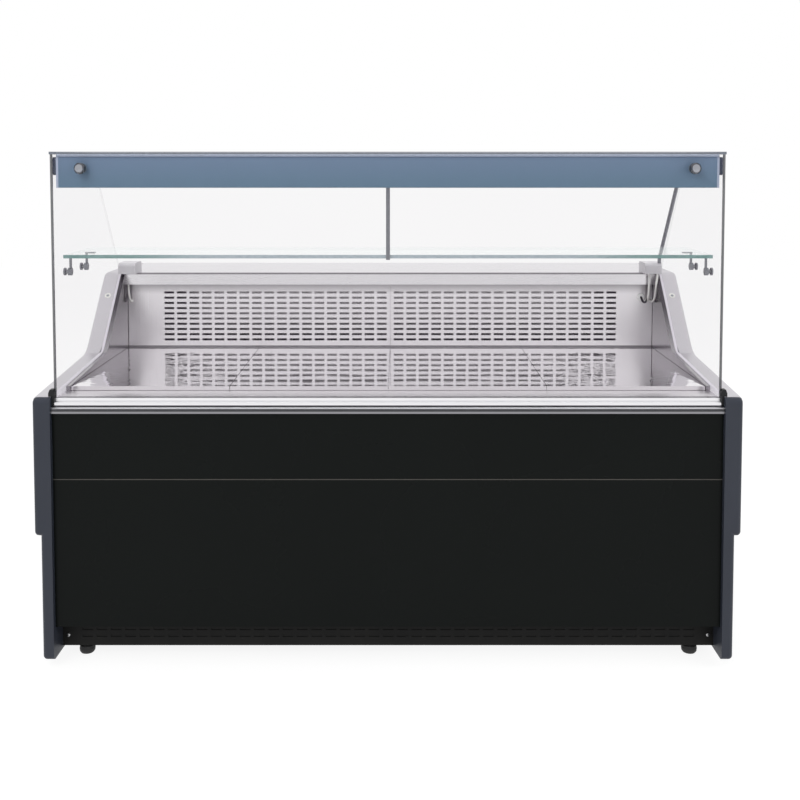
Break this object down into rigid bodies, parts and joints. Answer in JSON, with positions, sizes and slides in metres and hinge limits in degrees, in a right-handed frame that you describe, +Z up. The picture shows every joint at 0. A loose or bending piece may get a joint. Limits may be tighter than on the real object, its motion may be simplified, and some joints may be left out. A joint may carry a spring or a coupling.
{
  "type": "refrigerated deli case",
  "caption": "Refrigerated serve-over counter with an upright glass front that tilts open, a glass shelf under a lamp canopy, lift-out deck trays and a rear worktop.",
  "frame": {"origin": "middle of the floor under the case", "axes": "+X along the case to the right as the customer sees it, -Y towards the customer, +Z up"},
  "size_m": [1.58, 0.9, 1.16],
  "materials": {
    "anthracite": "satin moulded",
    "foam_shell": "rigid foam under a thin white skin",
    "stainless": "brushed",
    "polished_stainless": "mirror polished",
    "black_sheet": "gloss black",
    "black_kick": "satin black",
    "anodised": "anodised",
    "black_plastic": "moulded",
    "slate_plastic": "moulded",
    "clear_glass": "clear",
    "blue_aluminium": "blue grey anodised",
    "lamp": "diffuser",
    "chrome_fittings": "polished",
    "grey_plastic": "satin",
    "galvanised": "galvanised",
    "fins": "rolled fins",
    "black_enamel": "gloss enamel",
    "motor_grey": "satin",
    "white_sheet": "satin",
    "white_plastic": "gloss",
    "key_grey": "satin",
    "rocker_green": "gloss",
    "clear_bush": "moulded",
    "foot_black": "moulded"
  },
  "bodies": {
    "case": {"left_end_panel": "anthracite", "right_end_panel": "anthracite", "insulated_tub": "foam_shell", "tub_liner": "stainless", "inner_end_walls": "stainless", "upper_front_panel": "black_sheet", "lower_front_panel": "black_sheet", "kick_plate": "black_kick", "front_rail": "anodised", "front_ledge": "stainless", "pivot_bushes": "black_plastic", "side_glasses": "clear_glass", "top_glass": "clear_glass", "lamp_canopy": "blue_aluminium", "canopy_blocks": "slate_plastic", "led_bar": "lamp", "shelf_glass": "clear_glass", "shelf_brackets": "chrome_fittings", "shelf_hanger": "anodised", "worktop": "stainless", "glass_blocks": "grey_plastic", "back_panels": "stainless", "deck_bar": "stainless", "fan_plate": "stainless", "fan_motors": "motor_grey", "evaporator": "fins", "base_legs": "black_kick", "base_rails": "black_kick", "base_crossbars": "black_kick", "unit_plate": "galvanised", "compressor": "black_enamel", "condenser": "fins", "condenser_motor": "motor_grey", "drain_pipe": "white_plastic", "rear_panel": "white_sheet", "rear_louvres": "white_sheet", "control_box": "black_plastic", "lamp_conduit": "anodised", "lamp_cable": "white_plastic", "cable_grommet": "white_plastic"},
    "front_glass": {"front_glass": "clear_glass", "glass_channel": "anodised", "channel_caps": "black_plastic", "knob_bushes": "clear_bush"},
    "left_knob": {"left_knob": "chrome_fittings"},
    "right_knob": {"right_knob": "chrome_fittings"},
    "deck_tray_1": {"deck_tray_1": "polished_stainless"},
    "deck_tray_2": {"deck_tray_2": "polished_stainless"},
    "deck_tray_3": {"deck_tray_3": "polished_stainless"},
    "deck_tray_4": {"deck_tray_4": "polished_stainless"},
    "left_fan": {"left_fan": "black_plastic"},
    "right_fan": {"right_fan": "black_plastic"},
    "condenser_fan": {"condenser_fan": "black_plastic"},
    "up_key": {"up_key": "key_grey"},
    "down_key": {"down_key": "key_grey"},
    "lamp_rocker": {"lamp_rocker": "rocker_green"},
    "front_left_foot": {"front_left_foot": "foot_black"},
    "front_right_foot": {"front_right_foot": "foot_black"},
    "rear_left_foot": {"rear_left_foot": "foot_black"},
    "rear_right_foot": {"rear_right_foot": "foot_black"}
  },
  "joints": [
    {"name": "glass_tilt", "type": "hinge", "parent": "case", "child": "front_glass", "pos_m": [0, -0.432, 0.598], "axis": [1, 0, 0], "range_deg": [0, 60]},
    {"name": "left_knob_turn", "type": "hinge", "parent": "front_glass", "child": "left_knob", "pos_m": [-0.678, -0.425, 1.12292], "axis": [0, -1, 0], "continuous": true},
    {"name": "right_knob_turn", "type": "hinge", "parent": "front_glass", "child": "right_knob", "pos_m": [0.678, -0.425, 1.12292], "axis": [0, -1, 0], "continuous": true},
    {"name": "tray_1_lift", "type": "slide", "parent": "case", "child": "deck_tray_1", "axis": [0, 0, 1], "range_m": [0, 0.12]},
    {"name": "tray_2_lift", "type": "slide", "parent": "case", "child": "deck_tray_2", "axis": [0, 0, 1], "range_m": [0, 0.12]},
    {"name": "tray_3_lift", "type": "slide", "parent": "case", "child": "deck_tray_3", "axis": [0, 0, 1], "range_m": [0, 0.12]},
    {"name": "tray_4_lift", "type": "slide", "parent": "case", "child": "deck_tray_4", "axis": [0, 0, 1], "range_m": [0, 0.12]},
    {"name": "left_fan_spin", "type": "hinge", "parent": "case", "child": "left_fan", "pos_m": [-0.375, 0.15, 0.54427], "axis": [0, 1, 0], "continuous": true},
    {"name": "right_fan_spin", "type": "hinge", "parent": "case", "child": "right_fan", "pos_m": [0.375, 0.15, 0.54427], "axis": [0, 1, 0], "continuous": true},
    {"name": "condenser_fan_spin", "type": "hinge", "parent": "case", "child": "condenser_fan", "pos_m": [0.42, -0.2245, 0.208], "axis": [0, 1, 0], "continuous": true},
    {"name": "up_key_press", "type": "slide", "parent": "case", "child": "up_key", "axis": [0, -1, 0], "range_m": [0, 0.0015], "stiffness_N_per_m": 400},
    {"name": "down_key_press", "type": "slide", "parent": "case", "child": "down_key", "axis": [0, -1, 0], "range_m": [0, 0.0015], "stiffness_N_per_m": 400},
    {"name": "lamp_rocker_tip", "type": "hinge", "parent": "case", "child": "lamp_rocker", "pos_m": [0.602, 0.4405, 0.724], "axis": [1, 0, 0], "range_deg": [0, 16]},
    {"name": "front_left_foot_screw", "type": "hinge", "parent": "case", "child": "front_left_foot", "pos_m": [-0.7, -0.3645, 0.02], "axis": [0, 0, 1], "continuous": true},
    {"name": "front_right_foot_screw", "type": "hinge", "parent": "case", "child": "front_right_foot", "pos_m": [0.7, -0.3645, 0.02], "axis": [0, 0, 1], "continuous": true},
    {"name": "rear_left_foot_screw", "type": "hinge", "parent": "case", "child": "rear_left_foot", "pos_m": [-0.7, 0.414, 0.02], "axis": [0, 0, 1], "continuous": true},
    {"name": "rear_right_foot_screw", "type": "hinge", "parent": "case", "child": "rear_right_foot", "pos_m": [0.7, 0.414, 0.02], "axis": [0, 0, 1], "continuous": true}
  ]
}
